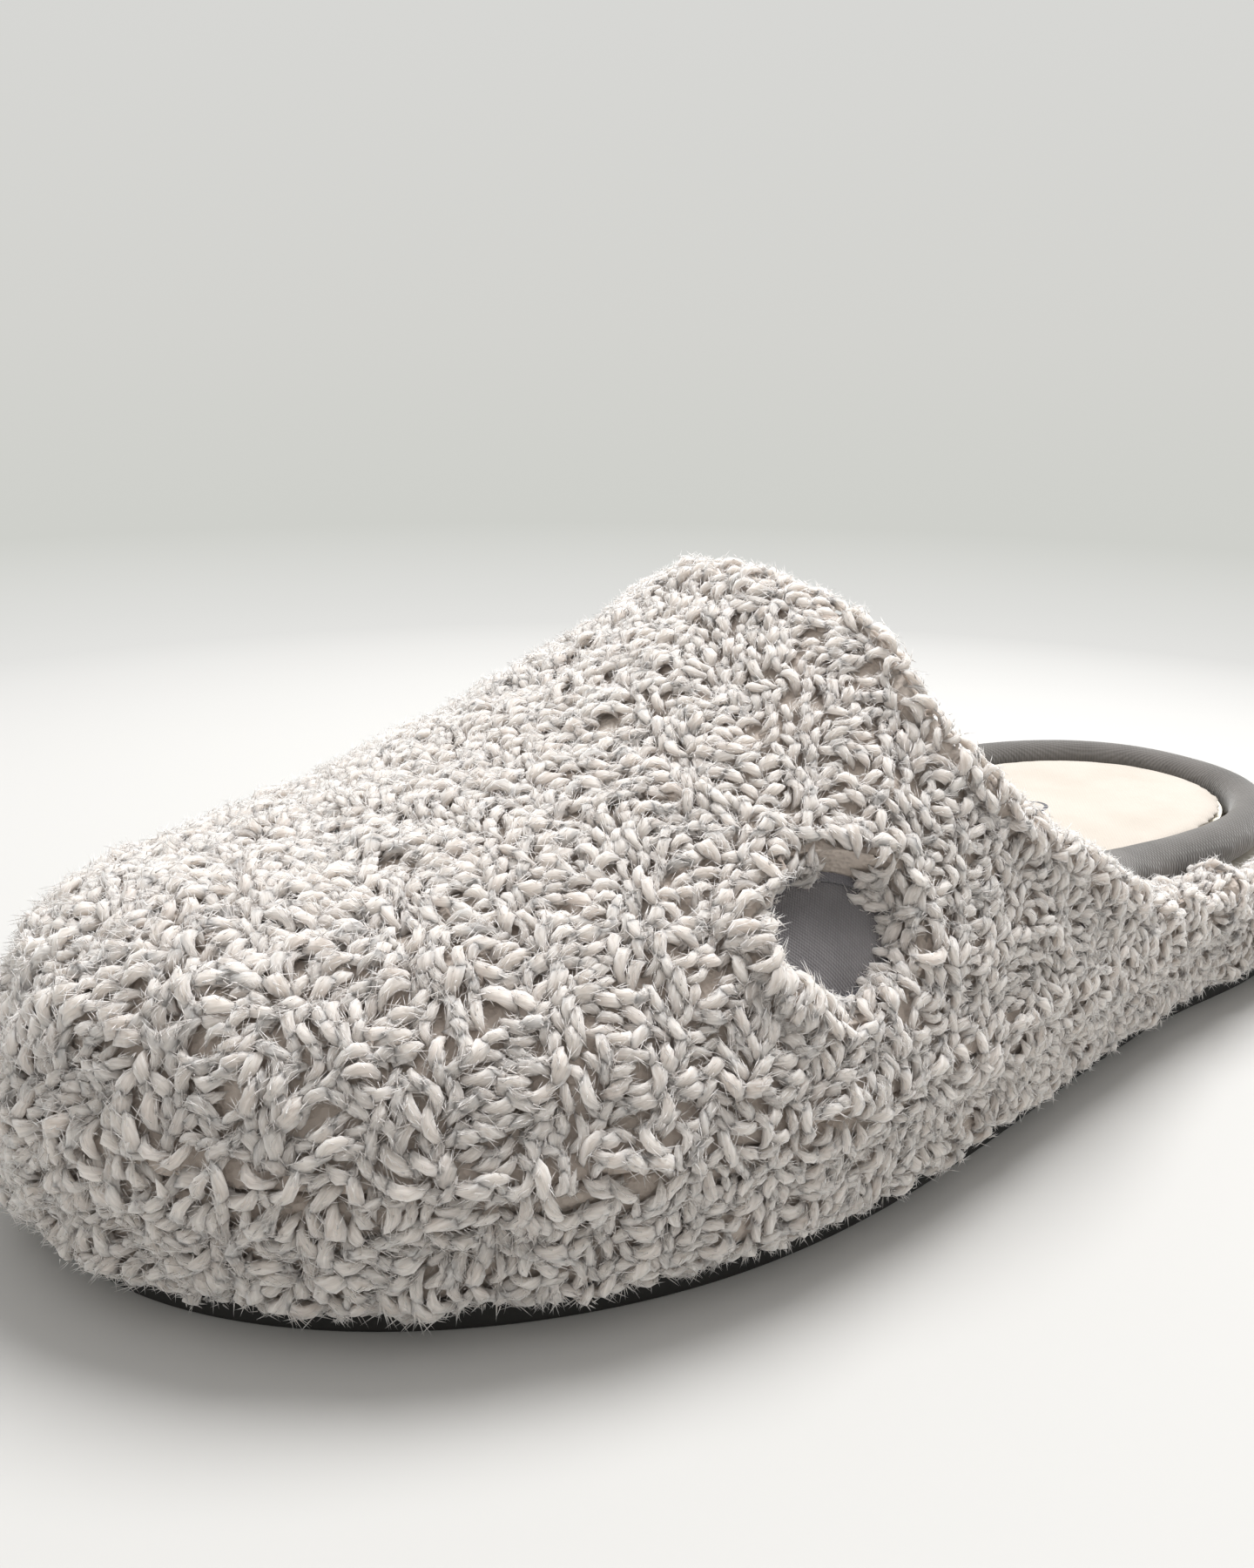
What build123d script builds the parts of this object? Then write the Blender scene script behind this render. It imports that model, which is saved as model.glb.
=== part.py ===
"""Left house slipper: a closed toe, an open heel and a cover of curly pile fabric.

Millimetres. +X points to the toe, +Y to the outer side of the left foot, +Z up.
The origin is on the floor, under the middle of the slipper.

From the floor up: rubber outsole, foam midsole, insole board, footbed foam, sock lining.
A strip of pile fabric wraps the midsole's side. At the heel a padded collar rings the footbed,
which is thicker there than under the toes.
The upper is layered from the outside in: pile fabric, stiffeners, foam, lining.
"""
from math import cos, pi, sin
import os

from build123d import *

# Sole in plan: the midsole's own edge, before any fabric.
sole_length = 260.0
ball_width = 113.0
seat_width = 80.0
waist_cut = 5.0          # how far the inner side is cut in under the arch
toe_swing = 2.8          # how far the toe tip leans to the inner side
ball_share = 0.325       # where the sole is widest, as a share of its length from the toe
seat_share = 0.80        # where the heel's round end begins
toe_roundness = 1.95     # superellipse exponents: 2 is an ellipse, more is squarer
heel_roundness = 2.3

# Sole stack.
outsole_thick = 5.0
outsole_reach = 2.5      # how far it stands out past the midsole
midsole_thick = 10.0
board_thick = 1.5
footbed_fore = 4.5       # thickness under the toes
footbed_heel = 12.0      # and under the heel
heel_rest = 105.0        # level from the heel's end to here
fore_rest = 85.0         # and level from here to the toe tip
sock_thick = 1.5

# Tread: chevron grooves inside a plain border.
tread_depth = 1.6
tread_width = 2.6
tread_pitch = 9.0
tread_border = 9.0
tread_rake = 9.0         # how far a chevron's point leads its ends
forefoot_treads = 10
heel_treads = 6
heel_tread_margin = 24.0
forefoot_tread_margin = 30.0

# Fabric and upper layers.
pile_thick = 9.0
backing_thick = 1.5
stiffener_thick = 1.0
upper_foam_thick = 3.0
lining_thick = 1.5
bond_gap = 0.1           # the cement or air between two curved layers
turn_in = 12.0           # how far the wrap is turned under the midsole

# Upper: heights are above its seam with the wrap, distances run back from the toe tip.
seam_above_board = 7.0
vamp_length = 131.0      # toe tip to the top of the throat, over the pile
toe_height = 19.0        # the toe box, under the pile
toe_run = 31.0           # how far back the toe box rounds over
instep_start = 22.0      # where the upper starts to climb to the instep
instep_height = 61.5     # the top of the throat, under the pile
instep_curve = 1.9       # 1 is a straight climb, more is hollow
toe_arch = 2.25          # superellipse exponents of the cross-section
throat_arch = 1.86
throat_sweep = 78.0      # how far the throat's sides run back to the heel's wall
throat_curve = [(0.59, 0.14), (0.26, 0.325), (0.115, 0.42), (-0.04, 0.62)]  # shares: back, up
throat_fold = 7.0        # how deep the pile fabric is turned in at the throat
toe_puff_length = 46.0
throat_tape_width = 10.0

# Heel.
heel_wall = 5.0          # how far the wrap stands above the upper's seam
wrap_bottom_round = 5.0
wrap_top_round = 2.5
collar_width = 9.0
collar_height = 10.0
collar_skin = 1.0
collar_inset = 1.0       # from the sole's edge to the collar
collar_gap = 0.4         # round the collar: to the upper, the wrap and the footbed
collar_tuck = 37.0       # how far its ends run forward, between the pile and the lining

# Badge on the outer side, and the mark on the sock.
badge_from_toe = 98.0
badge_up = 23.0          # above the upper's seam
badge_length = 25.0
badge_height = 17.0
badge_tilt = 30.0        # degrees that its face leans up
badge_thick = 1.2
badge_sunk = 6.5         # its face's depth below the pile's tips
edging_width = 1.4
edging_proud = 0.5
mark_from_heel = 62.0
mark_length = 13.0
mark_width = 8.0
mark_line = 0.9
mark_thick = 0.3

# Worked out from the sizes above.
midsole_bottom = outsole_thick
board_bottom = midsole_bottom + midsole_thick
board_top = board_bottom + board_thick
seam = board_top + seam_above_board           # where the pile of the upper meets the wrap
stiffener_out = -bond_gap
stiffener_in = stiffener_out - stiffener_thick
foam_out = stiffener_in - bond_gap
foam_in = foam_out - upper_foam_thick
lining_out = foam_in - bond_gap
lining_in = lining_out - lining_thick
throat_x = sole_length / 2 + pile_thick - vamp_length
throat_end_x = throat_x - throat_sweep
collar_in = -collar_inset - collar_width
collar_front = throat_end_x + collar_tuck
far = 2 * sole_length                         # longer than anything here

outline_points = 36
arch_points = 14
upper_sections = 16
nose = 0.05              # the foremost cross-section is this far behind the upper's tip


def smooth(u):
    """0 to 1 with level ends, for u from 0 to 1."""
    u = min(1.0, max(0.0, u))
    return u * u * (3 - 2 * u)


def hump(u):
    """0 at both ends of u from 0 to 1, and 1 in the middle, with level ends."""
    return sin(pi * min(1.0, max(0.0, u))) ** 2


def side_to_side(share, grow):
    """The sole's outer and inner edge, as Y, at a share of its length from the toe."""
    ball, seat = ball_width / 2 + grow, seat_width / 2 + grow
    along = (share - ball_share) / (seat_share - ball_share)
    if share < ball_share:
        left = max(0.0, 1 - share / ball_share)
        half = ball * (1 - left**toe_roundness) ** (1 / toe_roundness)
        middle = -toe_swing * left**2
    elif share < seat_share:
        half = ball + (seat - ball) * smooth(along) - waist_cut / 2 * hump(along)
        middle = waist_cut / 2 * hump(along)
    else:
        past = min(1.0, (share - seat_share) / (1 - seat_share))
        half = seat * (1 - past**heel_roundness) ** (1 / heel_roundness)
        middle = 0.0
    return middle + half, middle - half


def edge_point(turn, grow):
    """A point on the sole's edge; turn goes 0 at the toe, pi at the heel, 2 pi back at the toe."""
    share = (1 - cos(turn)) / 2
    outer, inner = side_to_side(share, grow)
    x = sole_length / 2 + grow - share * (sole_length + 2 * grow)
    return x, (outer if sin(turn) >= 0 else inner)


def slab(grow, low, high):
    """The sole's outline, grown or shrunk, from one height to another."""
    turns = [2 * pi * i / outline_points for i in range(outline_points)]
    edge = Spline(*[edge_point(t, grow) for t in turns], periodic=True)
    face = Plane.XY.offset(low) * make_face(edge)
    return extrude(face, high - low, dir=(0, 0, 1))


def crest(back, grow):
    """The upper's height above its seam on its centre line, at a distance back from the toe tip."""
    rounding = max(0.0, 1 - back / toe_run)
    toe = (toe_height + grow) * (1 - rounding**2.2) ** (1 / 2.2)
    climb = (back - instep_start) / (vamp_length - instep_start)
    return toe + (instep_height - toe_height) * max(0.0, climb) ** instep_curve


def upper_section(back, grow):
    """One cross-section of the foot space, with straight sides below the upper's seam."""
    length = sole_length + 2 * grow
    x = length / 2 - back
    outer, inner = side_to_side(back / length, grow)
    middle, half = (outer + inner) / 2, (outer - inner) / 2
    high = crest(back, grow)
    arch = toe_arch + (throat_arch - toe_arch) * min(1.0, back / vamp_length)
    points = []
    for i in range(arch_points + 1):
        a = pi * i / arch_points
        across = abs(cos(a)) ** (2 / arch) * (1 if cos(a) >= 0 else -1)
        points.append((x, middle + half * across, seam + high * abs(sin(a)) ** (2 / arch)))
    low = board_bottom
    below = Polyline(points[-1], (x, middle - half, low), (x, middle + half, low), points[0])
    return Wire([Spline(*points), *below.edges()])


def foot_form(grow):
    """The solid that the upper is drawn over, grown or shrunk. It runs back past the throat."""
    reach = vamp_length + throat_sweep + pile_thick
    steps = [reach * (1 - cos(pi / 2 * i / upper_sections)) for i in range(upper_sections + 1)]
    return Solid.make_loft([upper_section(max(nose, back), grow) for back in steps])


def throat_line(setback, lower=0.0):
    """The throat seen from the side, from its low end at the heel's wall up to its peak."""
    rise = instep_height + pile_thick
    steps = [(throat_sweep, heel_wall)]
    steps += [(back * throat_sweep, up * rise) for back, up in throat_curve]
    curve = [(throat_x + setback - back, seam + up - lower) for back, up in [*steps, (0.0, rise)]]
    return Spline(*curve, tangents=[(1.0, 0.08), (-0.25, 1.0)]), curve[0], curve[-1]


def throat_side(setback, low=seam):
    """Everything above a height and forward of the throat's curve, moved forward by setback."""
    line, end, top = throat_line(setback)
    sides = Polyline(top, (top[0], far), (far, far), (far, low), (end[0], low), end)
    face = Plane.XZ * make_face([line, *sides.edges()])
    return extrude(face, far, both=True)


def collar_bed():
    """The room over the upper's inner layers where the collar's ends are tucked in."""
    line, end, top = throat_line(0, collar_height / 2 + collar_gap)
    sides = Polyline(top, (top[0], far), (-far, far), (-far, end[1]), end)
    face = Plane.XZ * make_face([line, *sides.edges()])
    return extrude(face, far, both=True) & behind(collar_front + collar_gap)


def behind(x):
    """Everything to the heel side of x."""
    return Pos(x - far / 2, 0, 0) * Box(far, 2 * far, 3 * far)


def oval_prism(length, height):
    """An oval bar through the badge's place, along the way the badge faces."""
    x = sole_length / 2 + pile_thick - badge_from_toe
    outer, _ = side_to_side(badge_from_toe / (sole_length + 2 * pile_thick), 0)
    place = Plane(
        origin=(x, outer, seam + badge_up),
        x_dir=(1, 0, 0),
        z_dir=(0, cos(badge_tilt * pi / 180), sin(badge_tilt * pi / 180)),
    )
    bar = extrude(place * Ellipse(length / 2, height / 2), ball_width / 4, both=True)
    return bar


def outsole():
    body = slab(outsole_reach, 0, outsole_thick)
    body = fillet(body.faces().sort_by(Axis.Z)[0].edges(), tread_depth / 2)
    inside = slab(outsole_reach - tread_border, 0, tread_depth)
    front = sole_length / 2 - forefoot_tread_margin
    back = -sole_length / 2 + heel_tread_margin
    places = [front - i * tread_pitch for i in range(forefoot_treads)]
    places += [back + i * tread_pitch for i in range(heel_treads)]
    half = ball_width / 2
    for x in places:
        ahead = x + tread_rake
        chevron = make_face(
            Polyline(
                (x, -half), (ahead, 0), (x, half), (x - tread_width, half),
                (ahead - tread_width, 0), (x - tread_width, -half), (x, -half),
            )
        )
        body -= extrude(chevron, tread_depth, dir=(0, 0, 1)) & inside
    return body


def midsole():
    body = slab(0, midsole_bottom, board_bottom)
    high = midsole_bottom + backing_thick + bond_gap
    tray = slab(far / 100, midsole_bottom, high) - slab(-turn_in - bond_gap, midsole_bottom, high)
    return body - tray


def insole_board():
    return slab(-bond_gap, board_bottom, board_top)


def under_foot(above):
    """Everything below the footbed's top, raised by above. It slopes down from the heel."""
    heel, fore = board_top + footbed_heel + above, board_top + footbed_fore + above
    slope = [(heel_rest - sole_length / 2, heel), (sole_length / 2 - fore_rest, fore)]
    line = Spline(*slope, tangents=[(1, 0), (1, 0)])
    rest = Polyline(slope[-1], (far, fore), (far, -far), (-far, -far), (-far, heel), slope[0])
    return extrude(Plane.XZ * make_face([line, *rest.edges()]), far, both=True)


def foot_room(low, high):
    """The room for the footbed: inside the lining at the front and the collar at the back."""
    room = slab(lining_in - bond_gap, low, high)
    room -= foot_form(pile_thick) - foot_form(lining_in - bond_gap)
    collar_room = slab(pile_thick, seam, high) - slab(collar_in - collar_gap, seam, high)
    return room - (collar_room & behind(collar_front + collar_gap))


def footbed_foam():
    high = board_top + footbed_heel
    body = foot_room(board_top, high) & under_foot(0)
    return body + (slab(-bond_gap, board_top, seam) & behind(throat_end_x + throat_fold))


def sock_lining():
    high = board_top + footbed_heel + sock_thick
    return (foot_room(board_top, high) & under_foot(sock_thick)) - under_foot(0)


def sock_mark():
    x = -sole_length / 2 + mark_from_heel
    ring = Ellipse(mark_length / 2, mark_width / 2)
    ring -= Ellipse(mark_length / 2 - mark_line, mark_width / 2 - mark_line)
    return extrude(Pos(x, 0, board_top + footbed_heel + sock_thick) * ring, mark_thick)


def platform_wrap():
    top = seam + heel_wall
    body = slab(pile_thick, midsole_bottom, top)
    body = fillet(body.faces().sort_by(Axis.Z)[0].edges(), wrap_bottom_round)
    body = fillet(body.faces().sort_by(Axis.Z)[-1].edges(), wrap_top_round)
    body -= slab(bond_gap, midsole_bottom, top)
    body -= Pos(throat_end_x + far / 2, 0, seam + far / 2) * Box(far, far, far)
    high = midsole_bottom + backing_thick
    return body + (slab(bond_gap * 2, midsole_bottom, high) - slab(-turn_in, midsole_bottom, high))


def layer(out, inside, setback=0.0):
    """One sheet of the upper, between two grown or shrunk foot forms."""
    body = (foot_form(out) - foot_form(inside)) & throat_side(setback, board_top)
    return body - collar_bed()


def vamp_outer():
    body = foot_form(pile_thick) & throat_side(0)
    body -= foot_form(0) & throat_side(throat_fold, board_top)
    body -= foot_form(0) & collar_bed()
    body -= foot_form(lining_in)
    floor = pile_thick - badge_sunk - badge_thick
    wide = 2 * (edging_width + 3 * bond_gap)
    pocket = oval_prism(badge_length + wide, badge_height + wide)
    return body - (pocket - foot_form(floor - bond_gap))


def toe_puff():
    return layer(stiffener_out, stiffener_in) - behind(sole_length / 2 - toe_puff_length)


def tape_strip(spare):
    """The strip along the throat, ahead of the collar's ends, that the tape takes."""
    edge = throat_fold + bond_gap
    strip = throat_side(edge, board_bottom)
    strip -= throat_side(edge + throat_tape_width + spare, board_bottom)
    return strip - behind(collar_front + collar_gap - spare)


def throat_tape():
    return layer(stiffener_out, stiffener_in, throat_fold + bond_gap) & tape_strip(0)


def vamp_interlining():
    sheet = layer(stiffener_out, stiffener_in, throat_fold + bond_gap)
    return (sheet & behind(sole_length / 2 - toe_puff_length - bond_gap)) - tape_strip(bond_gap)


def vamp_foam():
    return layer(foam_out, foam_in, throat_fold + bond_gap)


def vamp_lining():
    return layer(lining_out, lining_in + bond_gap, throat_fold + bond_gap)


def collar_tube(shrink):
    """A padded roll round the heel. Its ends rise with the throat, inside the pile."""
    grow = -collar_inset - collar_width / 2
    line, end, _ = throat_line(0)
    turns, turn = [], 0.0
    while turn < 2 * pi:
        if edge_point(turn, grow)[0] < collar_front + collar_width / 2:
            turns.append(turn)
        turn += pi / 24
    stops = []
    for turn in turns:
        x, y = edge_point(turn, grow)
        height = seam + heel_wall
        if x > end[0]:
            height = (Plane.XZ * line & Plane.YZ.offset(x) * Rectangle(far, far)).vertex().Z
        stops.append((x, y, height))
    path = Spline(*stops)
    start = Plane(origin=path @ 0, x_dir=(0, 0, 1), z_dir=path % 0)
    section = start * Ellipse(collar_height / 2 - shrink, collar_width / 2 - shrink)
    return sweep(section, path) & behind(collar_front)


def collar_core():
    return collar_tube(collar_skin)


def collar_binding():
    return collar_tube(bond_gap) - collar_tube(collar_skin)


def side_badge():
    floor = pile_thick - badge_sunk - badge_thick
    sheet = foot_form(floor + badge_thick) - foot_form(floor)
    return sheet & oval_prism(badge_length, badge_height)


def badge_edging():
    floor = pile_thick - badge_sunk - badge_thick
    sheet = foot_form(floor + badge_thick + edging_proud) - foot_form(floor)
    inner = 2 * bond_gap
    outer = inner + 2 * edging_width
    ring = oval_prism(badge_length + outer, badge_height + outer)
    return sheet & (ring - oval_prism(badge_length + inner, badge_height + inner))


pieces = {
    "outsole": outsole,
    "midsole": midsole,
    "insole_board": insole_board,
    "footbed_foam": footbed_foam,
    "sock_lining": sock_lining,
    "sock_mark": sock_mark,
    "platform_wrap": platform_wrap,
    "vamp_outer": vamp_outer,
    "toe_puff": toe_puff,
    "vamp_interlining": vamp_interlining,
    "throat_tape": throat_tape,
    "vamp_foam": vamp_foam,
    "vamp_lining": vamp_lining,
    "collar_core": collar_core,
    "collar_binding": collar_binding,
    "side_badge": side_badge,
    "badge_edging": badge_edging,
}

os.makedirs("parts", exist_ok=True)
for name, make in pieces.items():
    export_step(make(), f"parts/{name}.step")
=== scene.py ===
"""Looks of a left house slipper covered in curly pile fabric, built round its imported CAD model.

Metres. +X points to the toe, +Y to the outer side of the left foot, +Z up, floor at z = 0.
"""

import random
from math import cos, pi, radians, sin

import bmesh
import bpy
from mathutils import Matrix, Vector, noise
from mathutils.bvhtree import BVHTree


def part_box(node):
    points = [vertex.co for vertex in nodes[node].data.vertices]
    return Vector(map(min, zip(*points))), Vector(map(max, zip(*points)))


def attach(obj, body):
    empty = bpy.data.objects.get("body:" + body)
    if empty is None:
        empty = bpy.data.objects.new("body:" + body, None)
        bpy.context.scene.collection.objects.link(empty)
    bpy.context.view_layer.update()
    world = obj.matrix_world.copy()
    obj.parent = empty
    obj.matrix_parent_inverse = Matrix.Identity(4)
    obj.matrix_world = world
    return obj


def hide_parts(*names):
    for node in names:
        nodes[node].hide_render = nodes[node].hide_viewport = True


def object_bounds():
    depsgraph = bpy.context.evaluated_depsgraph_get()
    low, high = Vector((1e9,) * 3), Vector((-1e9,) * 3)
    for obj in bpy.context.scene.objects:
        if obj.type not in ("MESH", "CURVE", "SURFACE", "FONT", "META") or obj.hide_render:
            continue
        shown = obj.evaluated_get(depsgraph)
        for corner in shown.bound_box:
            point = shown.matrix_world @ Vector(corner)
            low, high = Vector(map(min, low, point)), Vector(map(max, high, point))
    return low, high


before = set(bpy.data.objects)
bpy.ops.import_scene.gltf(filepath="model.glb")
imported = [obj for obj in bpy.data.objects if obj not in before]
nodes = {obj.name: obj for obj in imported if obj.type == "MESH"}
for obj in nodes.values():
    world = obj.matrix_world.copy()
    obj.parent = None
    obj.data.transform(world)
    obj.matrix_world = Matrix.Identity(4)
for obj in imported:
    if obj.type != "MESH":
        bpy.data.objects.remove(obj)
cad_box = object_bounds()
MM = 0.001


# ---------------------------------------------------------------- small helpers


def linear(colour):
    """An sRGB hex colour as linear RGBA."""
    parts = [int(colour[i : i + 2], 16) / 255 for i in (1, 3, 5)]
    return (*[p / 12.92 if p <= 0.04045 else ((p + 0.055) / 1.055) ** 2.4 for p in parts], 1.0)


def add(tree, kind, settings=None, **links):
    """Adds a node. Settings are its properties. Links are its inputs by name, each a value or a socket.
    An input's name is written with _ for a space, or as i0, i1 and so on for its place."""
    node = tree.nodes.new(kind)
    for key, value in (settings or {}).items():
        setattr(node, key, value)
    for key, value in links.items():
        if key[0] == "i" and key[1:].isdigit():
            socket = node.inputs[int(key[1:])]
        else:
            socket = node.inputs[key.replace("_", " ")]
        if isinstance(value, bpy.types.NodeSocket):
            tree.links.new(value, socket)
        else:
            socket.default_value = value
    return node


def blank(name):
    """A new material with only a Principled shader: returns the material, its tree and the shader."""
    material = bpy.data.materials.new(name)
    material.use_nodes = True
    tree = material.node_tree
    shader = tree.nodes["Principled BSDF"]
    shader.inputs["Metallic"].default_value = 0.0
    return material, tree, shader


def set_inputs(node, **values):
    """Sets a node's inputs by name, with _ for a space."""
    for name, value in values.items():
        node.inputs[name.replace("_", " ")].default_value = value


def surfaced(tree, shader, colour, strength, distance, height):
    """Gives a shader its colour and a bump from a height pattern."""
    bump = add(tree, "ShaderNodeBump", Strength=strength, Distance=distance, Height=height)
    tree.links.new(colour, shader.inputs["Base Color"])
    tree.links.new(bump.outputs["Normal"], shader.inputs["Normal"])


def object_coordinates(tree):
    """Where a shading point is in the slipper's frame, in metres."""
    return add(tree, "ShaderNodeTexCoord").outputs["Object"]


def ramp(tree, factor, *stops):
    """A colour ramp from (place, hex colour) stops."""
    node = add(tree, "ShaderNodeValToRGB", Fac=factor)
    band = node.color_ramp
    band.elements[0].position, band.elements[0].color = stops[0][0], linear(stops[0][1])
    band.elements[1].position, band.elements[1].color = stops[-1][0], linear(stops[-1][1])
    for place, colour in stops[1:-1]:
        band.elements.new(place).color = linear(colour)
    return node.outputs["Color"]


def linked(name, mesh):
    """A new object of a mesh, in the scene."""
    piece = bpy.data.objects.new(name, mesh)
    bpy.context.scene.collection.objects.link(piece)
    return piece


def plain(piece):
    """The piece's mesh with its modifiers applied; the modifiers and the old mesh are gone."""
    seen = piece.evaluated_get(bpy.context.evaluated_depsgraph_get())
    mesh = bpy.data.meshes.new_from_object(seen)
    piece.modifiers.clear()
    old = piece.data
    piece.data = mesh
    mesh.name = piece.name
    if old.users == 0 and isinstance(old, bpy.types.Mesh):
        bpy.data.meshes.remove(old)
    return piece


def cad_copy(name, *names):
    """One new piece from copies of CAD nodes, with their loose triangles merged."""
    merged = bmesh.new()
    for node in names:
        merged.from_mesh(nodes[node].data)
    bmesh.ops.remove_doubles(merged, verts=merged.verts, dist=1e-6)
    mesh = bpy.data.meshes.new(name)
    merged.to_mesh(mesh)
    merged.free()
    return linked(name, mesh)


def remade(piece, voxel, rounds=0):
    """The piece's surface as an even net of faces, its edges eased by rounds of smoothing."""
    piece.modifiers.new("net", "REMESH")
    piece.modifiers["net"].mode = "VOXEL"
    piece.modifiers["net"].voxel_size = voxel
    if rounds:
        piece.modifiers.new("ease", "SMOOTH")
        piece.modifiers["ease"].factor = 0.5
        piece.modifiers["ease"].iterations = rounds
    return plain(piece)


def smooth_shaded(piece):
    """The piece with its faces shaded as one smooth surface."""
    piece.data.shade_smooth()
    return piece


def finished(piece, slot, material, *replaced):
    """Puts the piece on the slipper's body, with its finish."""
    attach(piece, "root")
    if replaced:
        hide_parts(*replaced)
    if material:
        piece.data.materials.clear()
        piece.data.materials.append(material)
    return piece


def surface_of(*names):
    """A search tree of the surfaces of CAD nodes."""
    corners, faces = [], []
    for name in names:
        mesh = nodes[name].data
        first = len(corners)
        corners += [v.co.copy() for v in mesh.vertices]
        faces += [[first + i for i in p.vertices] for p in mesh.polygons]
    return BVHTree.FromPolygons(corners, faces)


def gap(tree, point):
    """How far a point is from the surfaces of a search tree."""
    return tree.find_nearest(point)[3]


def store(mesh, name, kind, values):
    """Gives each corner of a mesh a named value."""
    attribute = mesh.attributes.new(name, kind, "POINT")
    key = "vector" if kind == "FLOAT_VECTOR" else "value"
    for slot, value in zip(attribute.data, values):
        setattr(slot, key, value)


# ---------------------------------------------------------------- materials

LOOP_SIZE = 0.8 * MM  # of the knitted backing
STAIN_SIZE = 6 * MM  # of the light and dark areas on the backing
FLUFF_SIZE = 1.1 * MM  # of the brushed fibres on a fabric
PATCH_SIZE = 14 * MM  # of the light and dark areas on a fabric
SCUFF_SIZE = 9 * MM  # of the worn areas on a moulding


def curly_pile():
    """Polyester teddy pile: twisted locks of fine crimped fibre.
    It gives soft, matt, warm grey curls with fine lines along them, and painted shade that darkens them
    where they dive."""
    material, tree, shader = blank("polyester_teddy_pile")
    strand = add(tree, "ShaderNodeAttribute", {"attribute_name": "strand"}).outputs["Vector"]
    tone = add(tree, "ShaderNodeAttribute", {"attribute_name": "tone"}).outputs["Fac"]
    root = add(tree, "ShaderNodeAttribute", {"attribute_name": "root"}).outputs["Fac"]
    # Fibres of 0.02 mm don't show, so bundles of about 0.3 mm are drawn.
    fibres = add(tree, "ShaderNodeTexNoise", Vector=strand, Scale=1.2, Detail=3.0, Roughness=0.6)
    body = ramp(tree, tone, (0.0, "#e0d5cd"), (0.5, "#e6dcd4"), (1.0, "#ece2da"))
    lines = add(
        tree, "ShaderNodeMapRange", i0=fibres.outputs["Fac"], i1=0.35, i2=0.68, i3=0.76, i4=1.02
    )
    lit = add(
        tree, "ShaderNodeMix", {"data_type": "RGBA", "blend_type": "MULTIPLY"},
        i0=1.0, i6=body, i7=lines.outputs["Result"],
    )
    # Painted shade: where a lock dips low towards the backing, its colour is mixed with a darker brown,
    # as shade falls there.
    painted_dive_shade = add(tree, "ShaderNodeMapRange", i0=root, i1=0.5, i2=1.0, i3=0.0, i4=0.25)
    colour = add(
        tree, "ShaderNodeMix", {"data_type": "RGBA"},
        i0=painted_dive_shade.outputs["Result"], i6=lit.outputs[2], i7=linear("#a3978d"),
    )
    surfaced(tree, shader, colour.outputs[2], 0.55, 0.25 * MM, fibres.outputs["Fac"])
    set_inputs(
        shader, Roughness=0.92, IOR=1.5, Specular_IOR_Level=0.25,
        Sheen_Weight=0.5, Sheen_Roughness=0.6,
        Subsurface_Weight=0.8, Subsurface_Radius=(1.0, 0.95, 0.9), Subsurface_Scale=3.0 * MM,
    )
    return material


def pile_backing():
    """Knitted polyester backing, seen between the locks: matt, a little darker than the pile."""
    material, tree, shader = blank("knitted_pile_backing")
    where = object_coordinates(tree)
    loops = add(tree, "ShaderNodeTexVoronoi", Vector=where, Scale=1 / LOOP_SIZE)
    patches = add(tree, "ShaderNodeTexNoise", Vector=where, Scale=1 / STAIN_SIZE, Detail=3.0)
    colour = ramp(tree, patches.outputs["Fac"], (0.3, "#bbafa5"), (0.7, "#cdc1b7"))
    surfaced(tree, shader, colour, 0.8, 0.4 * MM, loops.outputs["Distance"])
    set_inputs(shader, Roughness=0.95, Sheen_Weight=0.3)
    return material


def fabric(name, light, dark, thread, rough=0.85, sheen=0.25, depth=0.5):
    """A flat fabric with threads of a size in millimetres, and soft uneven shading over it."""
    material, tree, shader = blank(name)
    where = object_coordinates(tree)
    pitch = 2 * pi / (thread * MM)
    split = add(tree, "ShaderNodeSeparateXYZ", Vector=where)
    wales = []
    for axis in ("X", "Y"):
        turn = add(
            tree, "ShaderNodeMath", {"operation": "MULTIPLY"}, i0=split.outputs[axis], i1=pitch
        )
        wave = add(tree, "ShaderNodeMath", {"operation": "SINE"}, i0=turn.outputs[0])
        wales.append(wave.outputs[0])
    weave = add(tree, "ShaderNodeMath", {"operation": "MULTIPLY"}, i0=wales[0], i1=wales[1])
    fluff = add(tree, "ShaderNodeTexNoise", Vector=where, Scale=1 / FLUFF_SIZE, Detail=4.0)
    patches = add(tree, "ShaderNodeTexNoise", Vector=where, Scale=1 / PATCH_SIZE, Detail=2.0)
    height = add(
        tree, "ShaderNodeMath", {"operation": "MULTIPLY_ADD"},
        i0=weave.outputs[0], i1=0.35, i2=fluff.outputs["Fac"],
    )
    shade = add(
        tree, "ShaderNodeMath", {"operation": "MULTIPLY_ADD"},
        i0=weave.outputs[0], i1=0.10, i2=patches.outputs["Fac"],
    )
    colour = ramp(tree, shade.outputs[0], (0.3, dark), (0.65, light))
    surfaced(tree, shader, colour, depth, 0.3 * MM, height.outputs[0])
    set_inputs(shader, Roughness=rough, Specular_IOR_Level=0.25, Sheen_Weight=sheen)
    return material


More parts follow.
